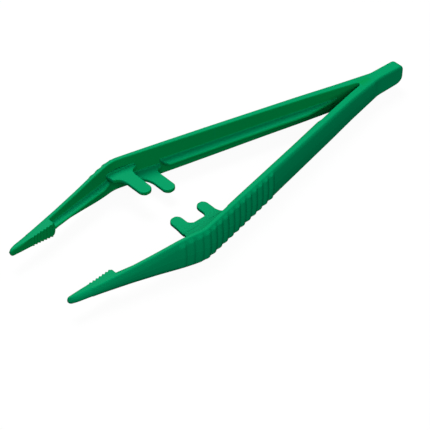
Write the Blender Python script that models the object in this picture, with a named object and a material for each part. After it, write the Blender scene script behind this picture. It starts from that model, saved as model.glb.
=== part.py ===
"""Plastic dressing forceps, lying on their side with the opening between the arms horizontal.

The real object is one springy moulding. It is modelled as its working regions, each its own solid.
In each plan outline, s is the distance along X from the tail end, and across is the distance from the
middle plane between the arms. The tail is at +X and the tips at -X. The near arm is on the -Y side and
the far arm on the +Y side. Heights are measured up and down from the plane at half the height.
"""
import math

import bmesh
import bpy
from mathutils import Matrix, Vector

# The whole object
LENGTH = 0.1270
HALF_HEIGHT = 0.0049  # at the knee, the tallest place
GAP = 0.0003  # clearance between neighbouring regions

# The outer face of an arm in plan, as (s, across)
TAIL = (0.0, 0.00175)
NOTCH = (0.0109, 0.00175)
FLEX = (0.0224, 0.0039)  # where an arm bends when it is squeezed
KNEE = (0.0888, 0.0186)
TIP = (0.1270, 0.0121)
OUTER_FACE = (TAIL, NOTCH, FLEX, KNEE, TIP)

# Wall thickness and half the wall's height, as (s, size)
WALL = ((0.0109, 0.0027), (0.0224, 0.00225), (0.0454, 0.00185), (0.0704, 0.0017), (0.0888, 0.0014), (0.1270, 0.0013))
HEIGHTS = (
    (0.0028, 0.0029), (0.0110, 0.0031), (0.0220, 0.0037), (0.0340, 0.0041), (0.0600, 0.0046),
    (0.0750, 0.00482), (0.0855, HALF_HEIGHT), (0.0915, HALF_HEIGHT), (0.0955, 0.00455), (0.1025, 0.0034),
    (0.1095, 0.00245), (0.1185, 0.00158), (0.1256, 0.0011),
)
TAIL_CORNER = 0.0028  # radius of the tail's end in side view
NOSE_LENGTH = 0.0014  # length of the rounding at the tips, seen from the side
NOSE_SWEEP = 0.0026  # how far from the tip the outer face curves in towards the jaw's face
NOSE_CORNER = 0.00045  # radius between the tip and the jaw's face
PROFILE_STEP = 0.0025

# Where one region ends and the next begins, as s
CROTCH = 0.0159
GRIP_START = 0.0603
GRIP_END = 0.0972
JAW_START = 0.1121
JAW_END = 0.1204

# Finger ribs on the outer face of a grip
RIB_COUNT = 15
RIB_PITCH = 0.00246
RIB_HEIGHT = 0.0004
LAST_RIB = 0.09586  # the rib nearest the tip
RIB_SIDES = 6

# The stiffening rib at mid-height on the inner face, as (s, how far it stands out)
SPINE_HALF = 0.0006
SHANK_SPINE = ((0.0228, 0.0005), (0.0340, 0.0024), (0.0748, 0.0028), (0.0758, 0.0023))
TIP_SPINE_HALF = 0.0005
TIP_SPINE = ((0.0928, 0.0018), (0.0938, 0.0023), (0.1117, 0.0020))

# The jaws
JAW_FACE = 0.0109  # across, at rest
TOOTH_COUNT = 7
TOOTH_PITCH = 0.00098
TOOTH_DEPTH = 0.00038
TOOTH_STEEP = 0.36  # share of the pitch taken by a tooth's tail side
FIRST_TOOTH = 0.1132

# The guides: the near arm's plate slides between the far arm's two
NEAR_GUIDE = (-0.00055, 0.00055)
UPPER_GUIDE = (0.0009, 0.0020)
LOWER_GUIDE = (-0.0020, -0.0009)
ARC_STEPS = 8

PLASTIC_COLOUR = (0.0010, 0.2270, 0.1090, 1.0)
PLASTIC_ROUGHNESS = 0.38


def clear_scene():
    for old in list(bpy.data.objects):
        bpy.data.objects.remove(old, do_unlink=True)


def new_collection(name):
    collection = bpy.data.collections.new(name)
    bpy.context.scene.collection.children.link(collection)
    return collection


def plastic():
    material = bpy.data.materials.new("green_polypropylene")
    material.use_nodes = True
    shader = material.node_tree.nodes["Principled BSDF"]
    shader.inputs["Base Color"].default_value = PLASTIC_COLOUR
    shader.inputs["Roughness"].default_value = PLASTIC_ROUGHNESS
    shader.inputs["Metallic"].default_value = 0.0
    return material


def read_table(table, s):
    """Straight-line interpolation in a table of (s, value) pairs."""
    if s <= table[0][0]:
        return table[0][1]
    for (s0, v0), (s1, v1) in zip(table, table[1:]):
        if s <= s1:
            return v0 + (v1 - v0) * (s - s0) / (s1 - s0)
    return table[-1][1]


def outer(s):
    return read_table(OUTER_FACE, s)


def inner(s):
    return outer(s) - read_table(WALL, s)


def stations(start, end, *tables):
    """start, end and every table entry between them, in order."""
    inside = {s for table in tables for s, _ in table if start < s < end}
    return [start] + sorted(inside) + [end]


def arc(centre, radius, first, last, squash=1.0):
    """Points on an arc; angles in degrees, 0 towards the tips and 90 away from the middle plane."""
    points = []
    for i in range(ARC_STEPS + 1):
        angle = math.radians(first + (last - first) * i / ARC_STEPS)
        points.append((centre[0] + radius * math.cos(angle), centre[1] + radius * squash * math.sin(angle)))
    return points


def wall_outline(start, end):
    tables = (OUTER_FACE, WALL)
    face = [(s, outer(s)) for s in stations(start, end, *tables)]
    back = [(s, inner(s)) for s in reversed(stations(start, end, *tables))]
    return face + back


def grip_outline():
    """A wall whose outer face carries round ribs: each is one arch of a cosine."""
    start, end = GRIP_START + GAP / 2, GRIP_END - GAP / 2
    first_rib = LAST_RIB - (RIB_COUNT - 1) * RIB_PITCH
    face = [(start, outer(start))]
    for i in range(RIB_COUNT * RIB_SIDES + 1):
        s = first_rib + RIB_PITCH * (i / RIB_SIDES - 0.5)
        swell = abs(math.cos(math.pi * (i / RIB_SIDES - 0.5)))
        face.append((s, outer(s) + RIB_HEIGHT * swell))
    face.append((end, outer(end)))
    back = [(s, inner(s)) for s in reversed(stations(start, end, OUTER_FACE, WALL))]
    return face + back


def jaw_outline():
    start, end = JAW_START + GAP / 2, JAW_END - GAP / 2
    points = [(start, outer(start)), (end, outer(end)), (end, JAW_FACE + TOOTH_DEPTH * 0.6)]
    for i in reversed(range(TOOTH_COUNT)):
        crest = FIRST_TOOTH + i * TOOTH_PITCH
        points.append((crest, JAW_FACE))
        if i:
            points.append((crest - TOOTH_PITCH * TOOTH_STEEP, JAW_FACE + TOOTH_DEPTH))
    ramp = inner(start) - JAW_FACE
    points.append((FIRST_TOOTH - 0.0003, JAW_FACE + ramp * 0.30))
    points.append((FIRST_TOOTH - 0.0007, JAW_FACE + ramp * 0.75))
    points.append((start, inner(start)))
    return points


def nose_outline():
    start = JAW_END + GAP / 2
    shoulder = LENGTH - NOSE_SWEEP
    corner = JAW_FACE + NOSE_CORNER
    squash = (outer(shoulder) - corner) / NOSE_SWEEP
    nose = arc((shoulder, corner), NOSE_SWEEP, 90, 0, squash)
    nose += [(LENGTH - NOSE_CORNER * 0.3, JAW_FACE + NOSE_CORNER * 0.3), (LENGTH - NOSE_CORNER, JAW_FACE)]
    return [(start, outer(start))] + nose + [(start, JAW_FACE + TOOTH_DEPTH * 0.6)]


def tail_outline():
    end = CROTCH - GAP / 2
    side = [TAIL, NOTCH, (end, outer(end))]
    return side + [(s, -across) for s, across in reversed(side)]


def spine_outline(table):
    start, end = table[0][0], table[-1][0]
    base = [(s, inner(s) - GAP) for s in stations(start, end, OUTER_FACE, WALL)]
    crest = [(s, inner(s) - GAP - read_table(table, s)) for s in stations(start, end, OUTER_FACE, WALL, table)]
    return base + crest[::-1]


def plate_root(tail_side, tip_side):
    """The edge of a guide plate along the wall, from its tip side to its tail side."""
    return [(s, inner(s) - GAP) for s in reversed(stations(tail_side, tip_side, OUTER_FACE, WALL))]


def near_guide_outline():
    edge = 0.0104  # the plate between its two prongs
    points = plate_root(0.0761, 0.0904)
    points += [(0.0761, 0.0128), (0.0767, 0.0119), (0.0776, 0.0112), (0.0780, 0.0100)]
    points += arc((0.07955, 0.0071), 0.00155, 180, 360)
    points += [(0.0811, 0.0092), (0.0817, edge), (0.0854, edge), (0.0862, 0.0102), (0.0867, 0.0094)]
    points += arc((0.0883, 0.0071), 0.0016, 180, 360)
    points += [(0.0900, 0.0098), (0.0904, 0.0130)]
    return points


def upper_guide_outline():
    points = plate_root(0.0836, 0.0922)
    points += [(0.0837, 0.0151), (0.0849, 0.0148), (0.0855, 0.0142), (0.0857, 0.0130)]
    points += arc((0.0875, 0.0066), 0.0018, 180, 360)
    points += [(0.0893, 0.0112), (0.0897, 0.0128), (0.0904, 0.0135), (0.0922, 0.0140)]
    return points


def lower_guide_outline():
    points = plate_root(0.0762, 0.0850)
    points += [(0.0762, 0.0136), (0.0774, 0.0132), (0.0781, 0.0124), (0.0783, 0.0112)]
    points += arc((0.0802, 0.0058), 0.0019, 180, 360)
    points += [(0.0821, 0.0102), (0.0827, 0.0114), (0.0835, 0.0128), (0.0850, 0.0148)]
    return points


def side_profile():
    """The outline of the whole object seen from the side, as (s, height above mid-height)."""
    flat = HEIGHTS[0][1] - TAIL_CORNER
    top = [(-TAIL_CORNER, flat)]  # past the end, so that the tail keeps the end of its own outline
    top += [(s, h + flat) for s, h in arc((TAIL_CORNER, 0.0), TAIL_CORNER, 180, 90)]
    shoulder = LENGTH - NOSE_LENGTH
    count = round((shoulder - TAIL_CORNER) / PROFILE_STEP)
    for s in sorted({TAIL_CORNER + (shoulder - TAIL_CORNER) * i / count for i in range(1, count)} |
                    {s for s, _ in HEIGHTS[1:-1]}):
        if s - top[-1][0] > PROFILE_STEP / 4:
            top.append((s, read_table(HEIGHTS, s)))
    reach = NOSE_LENGTH * 1.05  # past the tip, as at the tail
    top += arc((shoulder, 0.0), reach, 90, 0, read_table(HEIGHTS, shoulder) / reach)[:-1]
    return top + [(shoulder + reach, 0.0)] + [(s, -h) for s, h in reversed(top)]


def flat_solid(name, outline, low, high, collection):
    """A closed solid: a flat 2D curve filled on both sides and thickened, then turned into a mesh."""
    curve = bpy.data.curves.new(name, "CURVE")
    curve.dimensions = "2D"
    curve.fill_mode = "BOTH"
    curve.extrude = (high - low) / 2
    spline = curve.splines.new("POLY")
    spline.points.add(len(outline) - 1)
    for point, (x, y) in zip(spline.points, outline):
        point.co = (x, y, 0.0, 1.0)
    spline.use_cyclic_u = True
    drawn = bpy.data.objects.new(name + "_outline", curve)
    collection.objects.link(drawn)
    bpy.context.view_layer.update()
    evaluated = drawn.evaluated_get(bpy.context.evaluated_depsgraph_get())
    mesh = bpy.data.meshes.new_from_object(evaluated)
    mesh.name = name
    mesh.transform(Matrix.Translation((0.0, 0.0, (low + high) / 2)))
    work = bmesh.new()
    work.from_mesh(mesh)
    bmesh.ops.remove_doubles(work, verts=work.verts, dist=1e-6)
    bmesh.ops.recalc_face_normals(work, faces=work.faces)
    work.to_mesh(mesh)
    work.free()
    bpy.data.objects.remove(drawn, do_unlink=True)
    solid = bpy.data.objects.new(name, mesh)
    collection.objects.link(solid)
    return solid


def in_frame(outline, side):
    """Plan points from (s, across) to the frame's x and y."""
    return [(LENGTH / 2 - s, side * across) for s, across in outline]


def region(name, outline, side, low, high, profile, pivot=None):
    """One region of the moulding; where a profile is given, it trims the region's height."""
    solid = flat_solid(name, in_frame(outline, side), HALF_HEIGHT + low, HALF_HEIGHT + high, parts)
    solid.data.materials.append(green)
    if profile:
        trim = solid.modifiers.new("height", "BOOLEAN")
        trim.operation = "INTERSECT"
        trim.solver = "EXACT"
        trim.object = profile
    if pivot:
        solid.parent = pivot
        solid.matrix_parent_inverse = Matrix.Translation(-Vector(pivot.location))
    return solid


def profile_cutter():
    """The side profile as a slab that runs across the whole width."""
    reach = KNEE[1] * 1.3
    outline = [(LENGTH / 2 - s, h) for s, h in side_profile()]
    slab = flat_solid("side_profile", outline, -reach, reach, cutters)
    slab.data.transform(Matrix.Translation((0.0, 0.0, HALF_HEIGHT)) @ Matrix.Rotation(math.radians(90), 4, "X"))
    slab.hide_render = True
    slab.display_type = "WIRE"
    return slab


def arm(label, side, guides, profile):
    """All regions of one arm, hung on an empty at the place where it flexes."""
    full = HALF_HEIGHT * 1.2
    pivot = bpy.data.objects.new(label + "_flex_axis", None)
    pivot.location = (LENGTH / 2 - FLEX[0], side * (FLEX[1] + inner(FLEX[0])) / 2, HALF_HEIGHT)
    parts.objects.link(pivot)
    half = GAP / 2
    region(label + "_root", wall_outline(CROTCH + half, FLEX[0] - half), side, -full, full, profile)
    region(label + "_shank", wall_outline(FLEX[0] + half, GRIP_START - half), side, -full, full, profile, pivot)
    region(label + "_shank_spine", spine_outline(SHANK_SPINE), side, -SPINE_HALF, SPINE_HALF, None, pivot)
    region(label + "_grip", grip_outline(), side, -full, full, profile, pivot)
    for name, outline, (low, high) in guides:
        region(name, outline, side, low, high, None, pivot)
    region(label + "_tip_wall", wall_outline(GRIP_END + half, JAW_START - half), side, -full, full, profile, pivot)
    region(label + "_tip_spine", spine_outline(TIP_SPINE), side, -TIP_SPINE_HALF, TIP_SPINE_HALF, None, pivot)
    region(label + "_jaw", jaw_outline(), side, -full, full, profile, pivot)
    region(label + "_nose", nose_outline(), side, -full, full, profile, pivot)


clear_scene()
parts = new_collection("dressing_forceps")
cutters = new_collection("cutters")
green = plastic()
height_profile = profile_cutter()
region("tail_block", tail_outline(), 1, -HALF_HEIGHT, HALF_HEIGHT, height_profile)
arm("near", -1, [("near_guide_fork", near_guide_outline(), NEAR_GUIDE)], height_profile)
arm("far", 1, [("far_upper_guide", upper_guide_outline(), UPPER_GUIDE),
               ("far_lower_guide", lower_guide_outline(), LOWER_GUIDE)], height_profile)
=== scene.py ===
import math

import bmesh
import bpy
import numpy as np
from mathutils import Matrix, Vector


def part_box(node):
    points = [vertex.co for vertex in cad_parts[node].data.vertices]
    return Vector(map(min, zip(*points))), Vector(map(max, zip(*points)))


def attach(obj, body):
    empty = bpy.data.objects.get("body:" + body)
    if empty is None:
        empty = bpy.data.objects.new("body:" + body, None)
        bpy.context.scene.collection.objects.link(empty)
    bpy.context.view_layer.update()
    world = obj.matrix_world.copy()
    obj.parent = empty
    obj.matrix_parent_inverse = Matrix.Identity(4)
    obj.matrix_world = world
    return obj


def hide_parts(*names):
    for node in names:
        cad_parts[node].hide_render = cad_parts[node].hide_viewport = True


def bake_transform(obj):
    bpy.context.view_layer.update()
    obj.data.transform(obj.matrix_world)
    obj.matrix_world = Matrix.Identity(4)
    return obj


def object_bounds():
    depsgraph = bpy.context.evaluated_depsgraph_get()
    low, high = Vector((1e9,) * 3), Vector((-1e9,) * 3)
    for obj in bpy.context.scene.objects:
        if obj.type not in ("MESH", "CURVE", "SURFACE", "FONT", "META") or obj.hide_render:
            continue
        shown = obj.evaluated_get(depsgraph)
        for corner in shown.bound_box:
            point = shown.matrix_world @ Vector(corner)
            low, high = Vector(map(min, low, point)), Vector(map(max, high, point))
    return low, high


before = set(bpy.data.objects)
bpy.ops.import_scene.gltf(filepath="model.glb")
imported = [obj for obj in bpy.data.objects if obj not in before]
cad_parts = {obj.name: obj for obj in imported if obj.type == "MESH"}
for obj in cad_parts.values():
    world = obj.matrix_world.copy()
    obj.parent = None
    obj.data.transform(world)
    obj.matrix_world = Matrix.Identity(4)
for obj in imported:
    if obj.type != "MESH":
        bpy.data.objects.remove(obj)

# Plastic dressing forceps: one springy moulding that lies on its side. Below, s is the distance in mm along the
# tool from its tail end, across is the distance in mm from the plane between the arms, and height is measured
# in mm from the plane at half the tool's height.
cadBox = [list(corner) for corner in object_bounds()]
mm = 0.001
tailEndX = cadBox[1][0]
midHeight = (cadBox[0][2] + cadBox[1][2]) / 2
armSides = {"near": -1, "far": 1}


def regionEnds(node):  # where a CAD region starts and ends, as s
    low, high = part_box(node)
    return (tailEndX - high.x) / mm, (tailEndX - low.x) / mm


def cutBetween(first, second):  # the middle of the gap between two neighbouring CAD regions
    return (regionEnds(first)[1] + regionEnds(second)[0]) / 2


def eased(table, s, reach=1.5):
    # A straight-line reading of a table of (s, value) pairs, averaged over plus and minus reach with a cosine
    # hump as the weight, so every corner of the table becomes a short curve.
    places, values = np.array(table, float).T
    steps = np.linspace(-1, 1, 25)
    hump = 1 + np.cos(math.pi * steps)
    spread = np.broadcast_to(reach, np.shape(s))[..., None] * steps
    return np.interp(np.asarray(s)[..., None] + spread, places, values) @ (hump / hump.sum())


def rise(value, low, high):  # 0 below low, 1 above high, with level ends
    t = np.clip((value - low) / (high - low), 0, 1)
    return t * t * (3 - 2 * t)


armShape = {
    "outerFace": ((0, 1.86), (10.9, 1.84), (22.4, 3.98), (88.8, 18.8), (127, 12.2)),  # (s, across)
    "outerReach": ((0, 1.0), (14, 1.6), (26, 3.0), (80, 3.6), (100, 3.0), (127, 1.5)),  # how far its bends spread
    "reach": 2.0,  # how far the bends of the wall and of the height spread
    "wall": ((10.9, 2.7), (22.4, 2.28), (45.4, 1.92), (70.4, 1.78), (88.8, 1.52), (127, 1.4)),
    "halfHeight": ((0, 2.9), (11, 3.12), (22, 3.7), (34, 4.1), (60, 4.6), (75, 4.82), (85.5, 4.9), (91.5, 4.9),
                   (95.5, 4.5), (102.5, 3.38), (109.5, 2.45), (118.5, 1.55), (125.6, 1.1), (127, 1.05)),
    "outerEdge": ((0, 0.6), (30, 0.6), (88, 0.6), (100, 0.7), (127, 0.85)),  # rounding, as it cuts into the wall
    "outerEdgeHeight": ((0, 0.8), (60, 0.9), (90, 1.1), (100, 1.5), (112, 1.5), (118, 1.2), (127, 0.7)),
    "innerEdge": 0.36,
    "innerEdgeGrowth": 0.6,  # the inner edges' rounding for each mm past the crotch, until it is full
    "crown": ((0, 0.2), (20, 0.3), (60, 0.45), (88, 0.6), (100, 0.45), (127, 0.2)),  # how much the outer face swells
    "swellFrom": 0.4,  # the swelling and the ribs fade in between these shares of the rounded edge
    "swellTo": 0.8,
    "facePoints": 15,  # points across the outer face
    "partingRidge": 0.035,  # where the two halves of the mould met
    "partingWidth": 0.12,
    "crotchRadius": 0.4,
    "crotchSlopeStart": 15.5,  # where the inner faces would meet without the rounding
    "crotchSlope": 0.226,  # across for each mm of s on each inner face there
}


def outerFace(s):
    return eased(armShape["outerFace"], s, np.interp(s, *np.array(armShape["outerReach"]).T))


def halfHeight(s):
    return eased(armShape["halfHeight"], s, armShape["reach"])


crotchCentre = (armShape["crotchSlopeStart"]
                + armShape["crotchRadius"] * math.hypot(1, armShape["crotchSlope"]) / armShape["crotchSlope"])
crotchEnd = crotchCentre - armShape["crotchRadius"]


def innerFace(s):
    # The outer face less the wall. At the crotch it is a small circle that touches both inner faces, and before
    # that it is the plane between the arms.
    s = np.asarray(s, float)
    plain = outerFace(s) - eased(armShape["wall"], s, armShape["reach"])
    radius, slope, centre = armShape["crotchRadius"], armShape["crotchSlope"], crotchCentre
    touch = centre - radius * slope
    round_ = np.sqrt(np.clip(radius ** 2 - (s - centre) ** 2, 0, None))
    return np.where(s < centre - radius, 0.0, np.where(s < touch, round_, np.maximum(plain, 0.0)))


longestCut = 0.44  # how much of an edge a corner's curve may take, as a share of it
shoulder = 1.12  # where a corner's flat shoulder starts, as a multiple of the cut


def roundedLoop(corners, cuts, steps=6):
    # Rings of points from rings of corners. A corner becomes a rational curve, a quarter of an ellipse where the
    # edges are square, which leaves one edge and joins the next at the cut distances. A short straight shoulder
    # on both sides keeps the flats flat. The result is ring, corner, point, (first, second) coordinate.
    rows = max(np.size(value) for corner in corners for value in corner)
    points = np.stack([np.stack([np.broadcast_to(v, rows) for v in corner], -1) for corner in corners], 1)
    cut = np.stack([np.stack([np.broadcast_to(v, rows) for v in pair], -1) for pair in cuts], 1)
    towards = [np.roll(points, shift, axis=1) - points for shift in (1, -1)]
    sizes = [np.linalg.norm(edge, axis=-1, keepdims=True) + 1e-9 for edge in towards]
    units = [edge / size for edge, size in zip(towards, sizes)]
    ends = [unit * np.minimum(cut[..., i:i + 1], longestCut * size)
            for i, (unit, size) in enumerate(zip(units, sizes))]
    weight = np.sqrt(np.clip((1 - (units[0] * units[1]).sum(-1)) / 2, 0, 1))[..., None, None]
    t = np.linspace(0, 1, steps + 1)[:, None]
    bend = (1 - t) ** 2 * ends[0][:, :, None] + t ** 2 * ends[1][:, :, None]
    bend = bend / ((1 - t) ** 2 + 2 * weight * t * (1 - t) + t ** 2)
    shoulders = [shoulder * end[:, :, None] for end in ends]
    return points[:, :, None] + np.concatenate([shoulders[0], bend, shoulders[1]], axis=2)


def placed(s, across, height, side):  # from s, across and height in mm to the frame in metres
    s, across, height = np.broadcast_arrays(s, across, height)
    return np.stack([tailEndX - s * mm, side * across * mm, midHeight + height * mm], -1)


def skinned(name, shells, sharpAngle=48):
    # Each shell is a stack of rings: quads join each ring to the next and one face closes each end. Points that
    # fall together are merged and the faces are turned outwards.
    mesh = bpy.data.meshes.new(name)
    work = bmesh.new()
    for rings in shells:
        rows, around = rings.shape[:2]
        index = np.arange(rows * around).reshape(rows, around)
        low, high = index[:-1], index[1:]
        quads = np.stack([low, np.roll(low, -1, 1), np.roll(high, -1, 1), high], -1).reshape(-1, 4)
        shell = bpy.data.meshes.new("shell")
        ends = [index[0][::-1].tolist(), index[-1].tolist()]
        shell.from_pydata(rings.reshape(-1, 3), [], quads.tolist() + ends)
        work.from_mesh(shell)
        bpy.data.meshes.remove(shell)
    bmesh.ops.remove_doubles(work, verts=work.verts, dist=1e-7)
    bmesh.ops.recalc_face_normals(work, faces=work.faces)
    work.to_mesh(mesh)
    work.free()
    mesh.shade_smooth()
    mesh.set_sharp_from_angle(angle=math.radians(sharpAngle))
    piece = bpy.data.objects.new(name, mesh)
    bpy.context.scene.collection.objects.link(piece)
    return piece


def toLinear(hexColour):
    values = np.array([int(hexColour[i:i + 2], 16) for i in (1, 3, 5)]) / 255
    linear = np.where(values <= 0.04045, values / 12.92, ((values + 0.055) / 1.055) ** 2.4)
    return (*linear.tolist(), 1.0)


def addNode(tree, kind, settings=None, links=None):
    node = tree.nodes.new(kind)
    for key, value in (settings or {}).items():
        if key in node.inputs:
            node.inputs[key].default_value = value
        else:
            setattr(node, key, value)
    for key, source in (links or {}).items():
        tree.links.new(source, node.inputs[key])
    return node


# Polypropylene with green pigment, injection moulded. It shows as an even, deep body colour under a soft satin
# skin, with faint clouding where the pigment mixed, and the fine spark-eroded grain of the mould.
plastic = {
    "body": "#00653F",
    "clouded": "#00623C",
    "inner": "#00602F",  # painted shade and painted light: faces that look at the other arm take this darker, yellower green in place of the shade between the arms and the light that has come through the wall
    "paintedShadeFrom": 0.15,  # how squarely a face has to look at the other arm to start to take that painted shade
    "paintedShadeTo": 0.85,  # and to have all of it
    "gloss": "#00C8B4",  # the pigment also colours the skin's reflection
    "specular": 0.015,
    "roughness": (0.36, 0.45),  # it follows the clouding
    "ior": 1.49,
    "cloudSize": 14.0,  # mm
    "grainSize": 0.35,  # mm; the real grain, 0.05 mm, is too fine to show
    "grainDepth": 0.006,  # mm
    "grainStrength": 0.5,
}


def mouldedPolypropylene():
    material = bpy.data.materials.new("greenPolypropylene")
    material.use_nodes = True
    tree = material.node_tree
    tree.nodes.clear()
    place = addNode(tree, "ShaderNodeTexCoord").outputs["Object"]
    cloud = addNode(tree, "ShaderNodeTexNoise",
                    {"Scale": 1 / (plastic["cloudSize"] * mm), "Detail": 3.0, "Roughness": 0.5}, {"Vector": place})
    tone = addNode(tree, "ShaderNodeMix", {"data_type": "RGBA"}, {"Factor": cloud.outputs["Fac"]})
    tone.inputs[6].default_value = toLinear(plastic["body"])
    tone.inputs[7].default_value = toLinear(plastic["clouded"])
    # Painted shade: faces that look at the other arm are mixed towards the darker, yellower inner green, by how
    # squarely they look.
    facing = addNode(tree, "ShaderNodeAttribute", {"attribute_name": "paintedInnerShade"})
    deep = addNode(tree, "ShaderNodeMix", {"data_type": "RGBA"}, {"Factor": facing.outputs["Fac"]})
    tree.links.new(tone.outputs[2], deep.inputs[6])
    deep.inputs[7].default_value = toLinear(plastic["inner"])
    grain = addNode(tree, "ShaderNodeTexNoise",
                    {"Scale": 1 / (plastic["grainSize"] * mm), "Detail": 2.0}, {"Vector": place})
    satin = addNode(tree, "ShaderNodeMapRange",
                    {"From Min": 0.3, "From Max": 0.7, "To Min": plastic["roughness"][0],
                     "To Max": plastic["roughness"][1]}, {"Value": cloud.outputs["Fac"]})
    bump = addNode(tree, "ShaderNodeBump",
                   {"Strength": plastic["grainStrength"], "Distance": plastic["grainDepth"] * mm},
                   {"Height": grain.outputs["Fac"]})
    shader = addNode(tree, "ShaderNodeBsdfPrincipled",
                     {"IOR": plastic["ior"], "Specular IOR Level": plastic["specular"],
                      "Specular Tint": toLinear(plastic["gloss"])},
                     {"Base Color": deep.outputs[2], "Roughness": satin.outputs["Result"],
                      "Normal": bump.outputs["Normal"]})
    addNode(tree, "ShaderNodeOutputMaterial", None, {"Surface": shader.outputs["BSDF"]})
    return material


green = mouldedPolypropylene()
print("material made")


grip = {
    "ribCount": 15,
    "ribPitch": 2.46,
    "lastRib": 95.86,  # s of the rib nearest the tip
    "ribHeight": 0.5,
    "softening": 0.035,  # how wide the valleys between the ribs are
    "pointsPerRib": 14,
}
gripStart = cutBetween("near_shank", "near_grip")
gripEnd = cutBetween("near_grip", "near_tip_wall")
jawStart = cutBetween("near_tip_wall", "near_jaw")
jawEnd = cutBetween("near_jaw", "near_nose")
tailCut = 13.0  # s where the tail block's mesh meets the arms' meshes


def ribWave(s):
    # Round arches side by side: the size of a cosine, with the sharp valleys softened, and nothing past the
    # first and last arch.
    first = grip["lastRib"] - (grip["ribCount"] - 1) * grip["ribPitch"]
    phase = (s - first) / grip["ribPitch"]
    inside = (phase > -0.5) & (phase < grip["ribCount"] - 0.5)
    arch = np.sqrt(np.cos(math.pi * phase) ** 2 + grip["softening"]) - math.sqrt(grip["softening"])
    return np.where(inside, grip["ribHeight"] * arch, 0.0)


def swollen(ring, share, s, half):
    # Moves the outer face outwards: a shallow crown, the parting ridge at mid-height and the finger ribs.
    # share is 1 on the face and falls to 0 round its edges.
    level = ring[..., 1] / half[:, None]
    crown = eased(armShape["crown"], s)[:, None] * (1 - level ** 2)
    ridge = armShape["partingRidge"] * np.exp(-(ring[..., 1] / armShape["partingWidth"]) ** 2)
    ring[..., 0] += share * (crown + ridge + ribWave(s)[:, None])
    return ring


def faced(loop, outerCorners, s, half):
    # Puts a run of points, closer together near mid-height, on the outer face between its two corners, and
    # swells it.
    v = np.linspace(-1, 1, armShape["facePoints"] + 2)[1:-1]
    start, finish = loop[:, outerCorners[0], -1], loop[:, outerCorners[1], 0]
    place = (1 + v * np.abs(v))[None, :, None] / 2
    run = start[:, None] * (1 - place) + finish[:, None] * place
    count = loop.shape[2]
    fade = rise(np.arange(count), armShape["swellFrom"] * count, armShape["swellTo"] * count)
    parts, shares = [], []
    for corner in range(loop.shape[1]):
        parts.append(loop[:, corner])
        shares.append({outerCorners[0]: fade, outerCorners[1]: fade[::-1]}.get(corner, fade * 0))
        if corner == outerCorners[0]:
            parts.append(run)
            shares.append(np.ones(len(v)))
    return swollen(np.concatenate(parts, axis=1), np.concatenate(shares), s, half)


def edgeCuts(s):
    return eased(armShape["outerEdge"], s), eased(armShape["outerEdgeHeight"], s)


def wallRings(s, side):
    # A rounded rectangle from the inner face to the outer face, carried along the arm.
    half, outer, inner = halfHeight(s), outerFace(s), innerFace(s)
    cutAcross, cutUp = edgeCuts(s)
    soft = np.clip((s - crotchEnd) * armShape["innerEdgeGrowth"], 0, armShape["innerEdge"])
    loop = roundedLoop([(outer, -half), (outer, half), (inner, half), (inner, -half)],
                       [(cutAcross, cutUp), (cutUp, cutAcross), (soft, soft), (soft, soft)])
    ring = faced(loop, (0, 1), s, half)
    return placed(s[:, None], ring[..., 0], ring[..., 1], side)


tailEnd = {
    "sideRound": 1.35,  # radius of the end's two upright edges
    "topRound": 2.3,  # radius of its upper edge
    "bottomRound": 3.1,  # radius of its lower edge
    "start": 0.8,  # s of the end itself
}


def endRound(s, radius):  # how much a quarter circle of this radius takes off at the tail end
    return radius * (1 - np.sqrt(1 - (1 - np.clip(s / radius, 0, 1)) ** 2))


def tailRings():
    # A rounded rectangle on both sides of the middle plane. A quarter circle cuts each edge of its end, and the
    # upper and lower ones make the end nearly a half circle from the side. The end is then moved to its own s.
    arc = 1 - np.cos(np.linspace(0.1, math.pi / 2, 20))
    s = np.concatenate([arc * tailEnd["sideRound"], arc[1:] * tailEnd["bottomRound"], [0.0, tailCut],
                        np.arange(tailEnd["bottomRound"] + 0.5, tailCut, 0.5)])
    s = np.unique(s.round(3))
    width = outerFace(s) - endRound(s, tailEnd["sideRound"])
    top = halfHeight(s) - endRound(s, tailEnd["topRound"])
    bottom = np.minimum(endRound(s, tailEnd["bottomRound"]) - halfHeight(s), top - 0.05)
    cutAcross, cutUp = edgeCuts(s)
    loop = roundedLoop([(width, bottom), (width, top), (-width, top), (-width, bottom)],
                       [(cutAcross, cutUp), (cutUp, cutAcross)] * 2)
    ring = loop.reshape(len(s), -1, 2)
    s = s + tailEnd["start"] * (1 - rise(s, 0, tailCut))
    return placed(s[:, None], ring[..., 0], ring[..., 1], 1)


def stations(start, end, step, extra=()):
    even = np.linspace(start, end, max(2, round((end - start) / step) + 1))
    return np.unique(np.concatenate([even, [value for value in extra if start < value < end]]))


spines = {
    # stand is (s, how far the spine stands out of the inner face), half is (s, half its thickness)
    "shank": {"stand": ((22.8, -0.3), (23.6, 0.4), (34, 2.75), (74.9, 3.1)), "end": 75.9, "roundEnd": 1.2,
              "half": ((22, 0.65), (40, 0.55), (76, 0.45)), "start": 23.0},
    "tip": {"stand": ((91.6, 1.6), (94, 2.3), (111.6, 2.05), (114, 2.05)), "end": 113.6, "roundEnd": 0.4,
            "half": ((92, 0.5), (115, 0.5)), "start": 91.6},
    "fillet": 0.5,
    "crest": 0.6,
    "draft": 0.85,  # the crest's thickness as a share of the root's
    "sunk": 0.3,
    "reach": 0.7,  # how far the bends of its crest line spread
}


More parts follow.
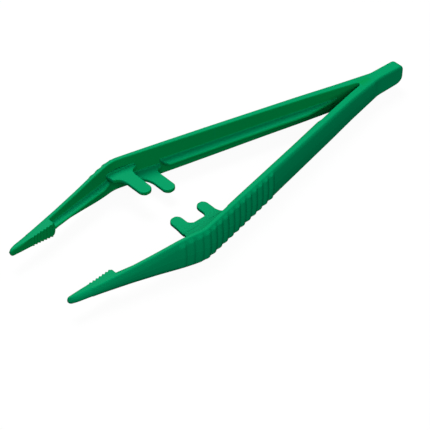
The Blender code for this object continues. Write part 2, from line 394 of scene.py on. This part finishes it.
def finRings(s, stand, half, side, fillet, crest, middle=0.0):
    # A fin on the inner face: it leaves the wall in a hollow fillet on each side and ends in a rounded crest.
    # Its base is sunk into the wall.
    inner = innerFace(s)
    room = np.clip(stand / (fillet + crest), 0.02, 1)
    foot = half + fillet * room
    tip = half * spines["draft"]
    loop = roundedLoop(
        [(-spines["sunk"], foot), (-0.01, foot), (0.0, half), (stand, tip),
         (stand, -tip), (0.0, -half), (-0.01, -foot), (-spines["sunk"], -foot)],
        [(0, 0), (0, 0), (fillet * room, fillet * room), (crest * room, crest * room),
         (crest * room, crest * room), (fillet * room, fillet * room), (0, 0), (0, 0)], steps=5)
    ring = loop.reshape(len(s), -1, 2)
    return placed(s[:, None], inner[:, None] - ring[..., 0], middle + ring[..., 1], side)


def spineRings(name, side):
    shape = spines[name]
    end, length = shape["end"], shape["roundEnd"]
    s = np.concatenate([stations(shape["start"], end - length, 0.6),
                        end - length * np.cos(np.linspace(0, math.pi / 2, 12))[1:]])
    slack = np.clip((s - (end - length)) / length, 0, 1)
    stand = eased(shape["stand"], s, spines["reach"]) * np.sqrt(1 - slack ** 2) - 0.1 * slack
    return finRings(s, stand, eased(shape["half"], s), side, spines["fillet"], spines["crest"])


jaw = {
    "face": 10.9,  # across
    "toothCount": 7,
    "toothPitch": 0.98,
    "toothDepth": 0.4,
    "lastValley": 0.55,  # depth past the last tooth, as a share of a tooth's
    "firstTooth": 113.7,  # s of the first crest
    "steepShare": 0.36,  # the tail side of a tooth is its steep side
    "blockStart": 112.6,
    "growth": 0.75,  # length over which the block grows out of the spine to the arm's full height
    "startHalf": 0.5,
    "edge": 0.12,
    "startEdge": 0.25,  # more rounding on that edge where the block starts
    "outerSpread": 0.5,  # how much wider the outer edge's rounding gets, as a share of it
    "headroom": 0.995,  # the block's height as a share of the arm's
    "step": 0.09,
}


def jawFace(s):
    # Saw teeth: from a crest the face falls steeply towards the tail, and gently towards the tip up to the next.
    pitch, depth = jaw["toothPitch"], jaw["toothDepth"]
    phase = (s - jaw["firstTooth"]) / pitch
    part = phase - np.floor(phase)
    falls = np.where(part > 1 - jaw["steepShare"], (1 - part) / jaw["steepShare"], part / (1 - jaw["steepShare"]))
    last = jaw["toothCount"] - 1
    before = np.clip((jaw["firstTooth"] - s) * depth / (pitch * jaw["steepShare"]), 0, depth)
    after = depth * jaw["lastValley"] * rise(phase, last, last + 0.5)
    return jaw["face"] + np.where(phase < 0, before, np.where(phase > last, after, depth * falls))


def jawRings(side):
    # The wall and a block on its inner face in one outline. The block starts as thin as the spine and swells to
    # the arm's full height along a quarter of an ellipse.
    crests = jaw["firstTooth"] + jaw["toothPitch"] * np.arange(jaw["toothCount"])
    valleys = crests[1:] - jaw["toothPitch"] * jaw["steepShare"]
    growing = jaw["blockStart"] + jaw["growth"] * (1 - np.cos(np.linspace(0, math.pi / 2, 16)))
    s = stations(jawStart, jawEnd, jaw["step"], [*crests, *valleys, *growing])
    half, outer, inner = halfHeight(s), outerFace(s), innerFace(s)
    cutAcross, cutUp = edgeCuts(s)
    grown = np.sqrt(1 - (1 - np.clip((s - jaw["blockStart"]) / jaw["growth"], 0, 1)) ** 2)
    block = jaw["startHalf"] + (half * jaw["headroom"] - jaw["startHalf"]) * grown
    face = jawFace(s)
    soft, edge = armShape["innerEdge"], jaw["edge"] + jaw["startEdge"] * (1 - grown)
    wide = cutAcross * (1 + jaw["outerSpread"] * grown)
    loop = roundedLoop(
        [(outer, -half), (outer, half), (inner, half), (inner, block),
         (face, block), (face, -block), (inner, -block), (inner, -half)],
        [(wide, cutUp), (cutUp, wide), (soft, soft), (soft, soft),
         (edge, edge), (edge, edge), (soft, soft), (soft, soft)])
    ring = faced(loop, (0, 1), s, half)
    return placed(s[:, None], ring[..., 0], ring[..., 1], side)


nose = {
    "tip": 126.8,  # s of the tip
    "sweep": 3.0,  # length over which the outer face curves in to the tip
    "corner": 0.5,  # radius between the tip and the jaw's face
    "round": 1.0,  # length of the rounding seen from the side
    "proud": 0.27,  # how far its face comes to stand out from the end of the jaw's face
    "edge": 0.5,  # rounding of its inner edges
}


def noseRings(side):
    # The jaw's section runs out to the tip: its outer face follows a quarter of an ellipse in towards the jaw's
    # face, the face turns in along a small quarter circle, and the height follows another ellipse.
    bend = nose["tip"] - nose["sweep"] * (1 - np.sin(np.linspace(0, 1.54, 26)))
    s = np.concatenate([stations(jawEnd, nose["tip"] - nose["sweep"], 0.25)[:-1], bend])
    left = nose["tip"] - s
    curve = {key: np.sqrt(1 - (1 - np.clip(left / nose[key], 0, 1)) ** 2) for key in ("sweep", "corner", "round")}
    along = rise(s, jawEnd, nose["tip"] - nose["sweep"])
    base = jawFace(s) - nose["proud"] * along + nose["corner"]
    low, high = base - nose["corner"] * curve["corner"], base + (outerFace(s) - base) * curve["sweep"]
    half = halfHeight(s) * curve["round"]
    cutAcross, cutUp = edgeCuts(s)
    wide = cutAcross * (1 + jaw["outerSpread"])
    soft = jaw["edge"] + (nose["edge"] - jaw["edge"]) * along
    inside = half * jaw["headroom"]
    loop = roundedLoop([(high, -half), (high, half), (low, inside), (low, -inside)],
                       [(wide, cutUp), (cutUp, wide), (soft, soft), (soft, soft)])
    ring = faced(loop, (0, 1), s, half)
    return placed(s[:, None], ring[..., 0], ring[..., 1], side)


guides = {
    # Each prong: (across, s) along its tail side and its tip side, the across where its round end starts, the
    # radius of that end, the middle and half of its thickness, the across of its root, and that of the wall.
    "farUpper": {"tailSide": ((6.6, 85.6), (12.4, 85.5), (13.8, 85.2), (14.7, 84.5), (15.2, 83.2), (18, 82.8)),
                 "tipSide": ((6.6, 89.35), (11.2, 89.4), (12.8, 89.8), (13.5, 90.4), (14.1, 91.5), (18, 91.8)),
                 "roundAt": 6.6, "radius": 1.8, "middle": 1.45, "half": 0.55, "root": 17.6, "wall": 17.2},
    "farLower": {"tailSide": ((5.8, 78.3), (11.2, 78.3), (12.4, 78.1), (13.2, 77.4), (13.6, 76.0), (17, 75.6)),
                 "tipSide": ((5.8, 82.05), (9.6, 82.05), (11.2, 82.5), (12.6, 83.4), (13.6, 84.3), (14.3, 85.6),
                             (17, 85.8)),
                 "roundAt": 5.8, "radius": 1.7, "middle": -1.45, "half": 0.55, "root": 16.1, "wall": 15.6},
    "nearTip": {"tailSide": ((7.0, 86.7), (9.2, 86.7), (9.9, 86.3), (10.4, 85.4), (12, 85.2)),
                "tipSide": ((7.0, 90.2), (9.3, 90.3), (10.6, 90.5), (12, 90.6)),
                "roundAt": 7.1, "radius": 1.6, "middle": 0.0, "half": 0.55, "root": 12.0, "wall": None},
    "nearTail": {"tailSide": ((7.0, 78.0), (10, 78.0), (11, 77.7), (12, 77.2)),
                 "tipSide": ((7.0, 81.3), (9.2, 81.3), (10.0, 81.7), (10.4, 82.4), (12, 82.6)),
                 "roundAt": 7.1, "radius": 1.6, "middle": 0.0, "half": 0.55, "root": 12.0, "wall": None},
    "edge": 0.34,
    "fillet": 0.25,
    "reach": 0.45,  # how far the bends of a prong's sides spread
    "endThickness": 0.55,  # at the very end, as a share of the full thickness
    "wallReach": 4.0,  # length over which a far prong turns to follow its wall
    "nearSink": (10.4, 11.0, 0.02),  # a near prong thins by this share between these two, under the plate's skin
    "plateHalf": 0.55,
    "plateReach": 0.5,
    "plateEnds": (75.2, 91.2),
    "plateEdge": ((75.2, 15.9), (75.9, 13.6), (76.6, 12.2), (77.6, 11.2), (78.6, 10.15), (89.4, 10.15), (90.2, 11.2),
                  (90.6, 13.0), (91.2, 17.2)),  # (s, across) of the plate between the near prongs
}


def prongRings(name, side):
    # A flat bar carried from its round end to the wall. Its two sides flare where it joins, and near the wall its
    # thickness grows along a hollow quarter circle.
    shape = guides[name]
    radius, half = shape["radius"], shape["half"]
    tip = shape["roundAt"] - radius
    across = np.concatenate([tip + radius * (1 - np.cos(np.linspace(0.05, math.pi / 2, 14))),
                             stations(shape["roundAt"], shape["root"], 0.2)[1:]])
    end = np.sqrt(np.clip(1 - (1 - np.clip((across - tip) / radius, 0, 1)) ** 2, 0, 1))
    sides = [eased(shape[key], across, guides["reach"]) for key in ("tailSide", "tipSide")]
    centre, width = (sides[0] + sides[1]) / 2, (sides[1] - sides[0]) / 2 * end
    round_ = guides["edge"] * np.clip(end * 1.6, 0.2, 1)
    level = half * (guides["endThickness"] + (1 - guides["endThickness"]) * np.clip(end * 2.0, 0, 1))
    loop = roundedLoop([(centre - width, -level), (centre + width, -level), (centre + width, level),
                        (centre - width, level)], [(round_, round_)] * 4, steps=5)
    ring = loop.reshape(len(across), -1, 2)
    s, height = ring[..., 0], ring[..., 1]
    place = np.broadcast_to(across[:, None], s.shape)
    if shape["wall"]:
        near = rise(place, shape["wall"] - guides["wallReach"], shape["wall"])
        place = place + near * (innerFace(s) - shape["wall"])
        gap = np.clip(innerFace(s) - place, 0, guides["fillet"])
        hollow = guides["fillet"] - np.sqrt(guides["fillet"] ** 2 - (guides["fillet"] - gap) ** 2)
        height = height * (1 + hollow / half)
    else:
        low, high, share = guides["nearSink"]
        height = height * (1 - share * rise(place, low, high))
    return placed(s, place, shape["middle"] + height, side)


def plateRings(side):
    # The plate that carries the two near prongs, as a fin along the wall whose free edge follows a table.
    s = stations(*guides["plateEnds"], 0.15)
    stand = innerFace(s) - eased(guides["plateEdge"], s, guides["plateReach"])
    half = np.full(len(s), guides["plateHalf"])
    return finRings(s, np.maximum(stand, -0.1), half, side, guides["fillet"], guides["edge"] * 1.1)


flexZone = {
    # Where an arm bends, between these two s: on the tool it moves with the tail before the first, and as a whole
    # past the second. The script works out the two ends but doesn't bend the arm's pieces.
    "start": 16.0,
    "end": 44.0,
}


def paintInnerShade(mesh, side):
    # One number a vertex: how squarely it looks at the other arm, from its normal. The material paints the inner
    # faces' shade from it.
    normals = np.empty(len(mesh.vertices) * 3, np.float32)
    mesh.vertices.foreach_get("normal", normals)
    tone = mesh.attributes.new("paintedInnerShade", "FLOAT", "POINT")
    towards = rise(-side * normals[1::3], plastic["paintedShadeFrom"], plastic["paintedShadeTo"])
    tone.data.foreach_set("value", towards.astype(np.float32))


def finished(piece, body, nodes, arm=None):
    piece.data.materials.append(green)
    # painted shade on the faces that look at the other arm
    paintInnerShade(piece.data, armSides.get(nodes[0].split("_")[0], 0))
    if arm:
        ends = [placed(flexZone[key], 0.0, 0.0, 1) for key in ("start", "end")]
        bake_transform(piece)
    else:
        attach(piece, body)
    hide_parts(*nodes)
    return piece


crotchSteps = crotchEnd + armShape["crotchRadius"] * (1 - np.cos(np.linspace(0, math.pi, 14)))
finished(skinned("tailBlock", [tailRings()]), "tail", ["tail_block"])
for label, side in armSides.items():
    body = label + "_arm"
    wall = skinned(label + "Shank", [wallRings(stations(tailCut, gripStart, 0.6, crotchSteps), side)])
    finished(wall, None, [label + "_root", label + "_shank"], body)
    finished(skinned(label + "ShankSpine", [spineRings("shank", side)]), None, [label + "_shank_spine"], body)
    ribbed = wallRings(stations(gripStart, gripEnd, grip["ribPitch"] / grip["pointsPerRib"]), side)
    finished(skinned(label + "Grip", [ribbed]), body, [label + "_grip"])
    finished(skinned(label + "TipWall", [wallRings(stations(gripEnd, jawStart, 0.4), side)]), body,
             [label + "_tip_wall"])
    finished(skinned(label + "TipSpine", [spineRings("tip", side)]), body, [label + "_tip_spine"])
    finished(skinned(label + "Jaw", [jawRings(side)]), body, [label + "_jaw"])
    finished(skinned(label + "Nose", [noseRings(side)]), body, [label + "_nose"])
print("arms made")
finished(skinned("nearGuideFork", [plateRings(-1), prongRings("nearTip", -1), prongRings("nearTail", -1)]),
         "near_arm", ["near_guide_fork"])
finished(skinned("farUpperGuide", [prongRings("farUpper", 1)]), "far_arm", ["far_upper_guide"])
finished(skinned("farLowerGuide", [prongRings("farLower", 1)]), "far_arm", ["far_lower_guide"])
print("guides made")


studio = {
    "floorColour": "#242424",
    "floorGlow": 0.95,  # the floor is a light table, so the tool's shadows stay faint
    "floorSize": 6.0,  # metres
    "floorDrop": 0.00005,  # metres under the lowest point, so that the two don't share a plane
    "floorRoughness": 0.9,
    "floorSpecular": 0.1,
    "domeColour": "#FFFFFF",
    "domeStrength": 0.7,  # straight overhead
    "domeFoot": -0.2,  # sine of the elevation where it has fallen to nothing
    "lights": {
        # name: (place in metres, size in metres, watts); each looks at the tool
        "backSoftbox": ((0.175, 0.468, 0.866), 0.60, 20.0),
        "nearSoftbox": ((-0.36, -0.735, 0.574), 0.60, 11.8),
    },
}


def makeFloor():
    bpy.ops.mesh.primitive_plane_add(size=studio["floorSize"], location=(0, 0, cadBox[0][2] - studio["floorDrop"]))
    floor = bpy.context.object
    floor.name = "floor"
    material = bpy.data.materials.new("paperFloor")
    material.use_nodes = True
    shader = material.node_tree.nodes["Principled BSDF"]
    shader.inputs["Base Color"].default_value = toLinear(studio["floorColour"])
    shader.inputs["Roughness"].default_value = studio["floorRoughness"]
    shader.inputs["Emission Color"].default_value = toLinear(studio["domeColour"])
    shader.inputs["Emission Strength"].default_value = studio["floorGlow"]
    shader.inputs["Specular IOR Level"].default_value = studio["floorSpecular"]
    floor.data.materials.append(material)
    floor.visible_diffuse = floor.visible_glossy = False  # its glow is for the camera and doesn't light the tool


def makeLights():
    aim = Vector((0, 0, midHeight))
    for name, (place, size, power) in studio["lights"].items():
        light = bpy.data.lights.new(name, "AREA")
        light.shape = "DISK"
        light.size = size
        light.energy = power
        lamp = bpy.data.objects.new(name, light)
        lamp.location = place
        lamp.rotation_euler = (aim - lamp.location).to_track_quat("-Z", "Y").to_euler()
        bpy.context.scene.collection.objects.link(lamp)
    world = bpy.data.worlds.new("studio")
    bpy.context.scene.world = world
    world.use_nodes = True
    tree = world.node_tree
    background = tree.nodes["Background"]
    background.inputs["Color"].default_value = toLinear(studio["domeColour"])
    upward = addNode(tree, "ShaderNodeSeparateXYZ", None,
                     {"Vector": addNode(tree, "ShaderNodeTexCoord").outputs["Generated"]})
    dome = addNode(tree, "ShaderNodeMapRange",
                   {"From Min": studio["domeFoot"], "From Max": 1.0, "To Max": studio["domeStrength"]},
                   {"Value": upward.outputs["Z"]})
    tree.links.new(dome.outputs["Result"], background.inputs["Strength"])


cameraSetup = {
    "target": (-0.01599, -0.01143, 0.0049),
    "azimuth": -42.11,  # degrees; 0 looks along +Y
    "elevation": 41.23,
    "roll": 0.31,
    "distance": 0.482,  # metres
    "lens": 160.34,  # mm, on a sensor this wide
    "sensor": 36,
    "clipStart": 0.01,
}


def makeCamera():
    turn, lift, roll = (math.radians(cameraSetup[key]) for key in ("azimuth", "elevation", "roll"))
    back = Vector((math.sin(turn) * math.cos(lift), -math.cos(turn) * math.cos(lift), math.sin(lift)))
    right = Vector((math.cos(turn), math.sin(turn), 0))
    up = back.cross(right)
    across = math.cos(roll) * right + math.sin(roll) * up
    upward = math.cos(roll) * up - math.sin(roll) * right
    data = bpy.data.cameras.new("camera")
    data.lens = cameraSetup["lens"]
    data.sensor_width = cameraSetup["sensor"]
    data.clip_start = cameraSetup["clipStart"]
    camera = bpy.data.objects.new("camera", data)
    axes = Matrix((across, upward, back)).transposed().to_4x4()
    camera.matrix_world = Matrix.Translation(Vector(cameraSetup["target"]) + cameraSetup["distance"] * back) @ axes
    bpy.context.scene.collection.objects.link(camera)
    bpy.context.scene.camera = camera


makeFloor()
makeLights()
makeCamera()
bpy.context.scene.view_settings.view_transform = "Standard"
print("studio made")
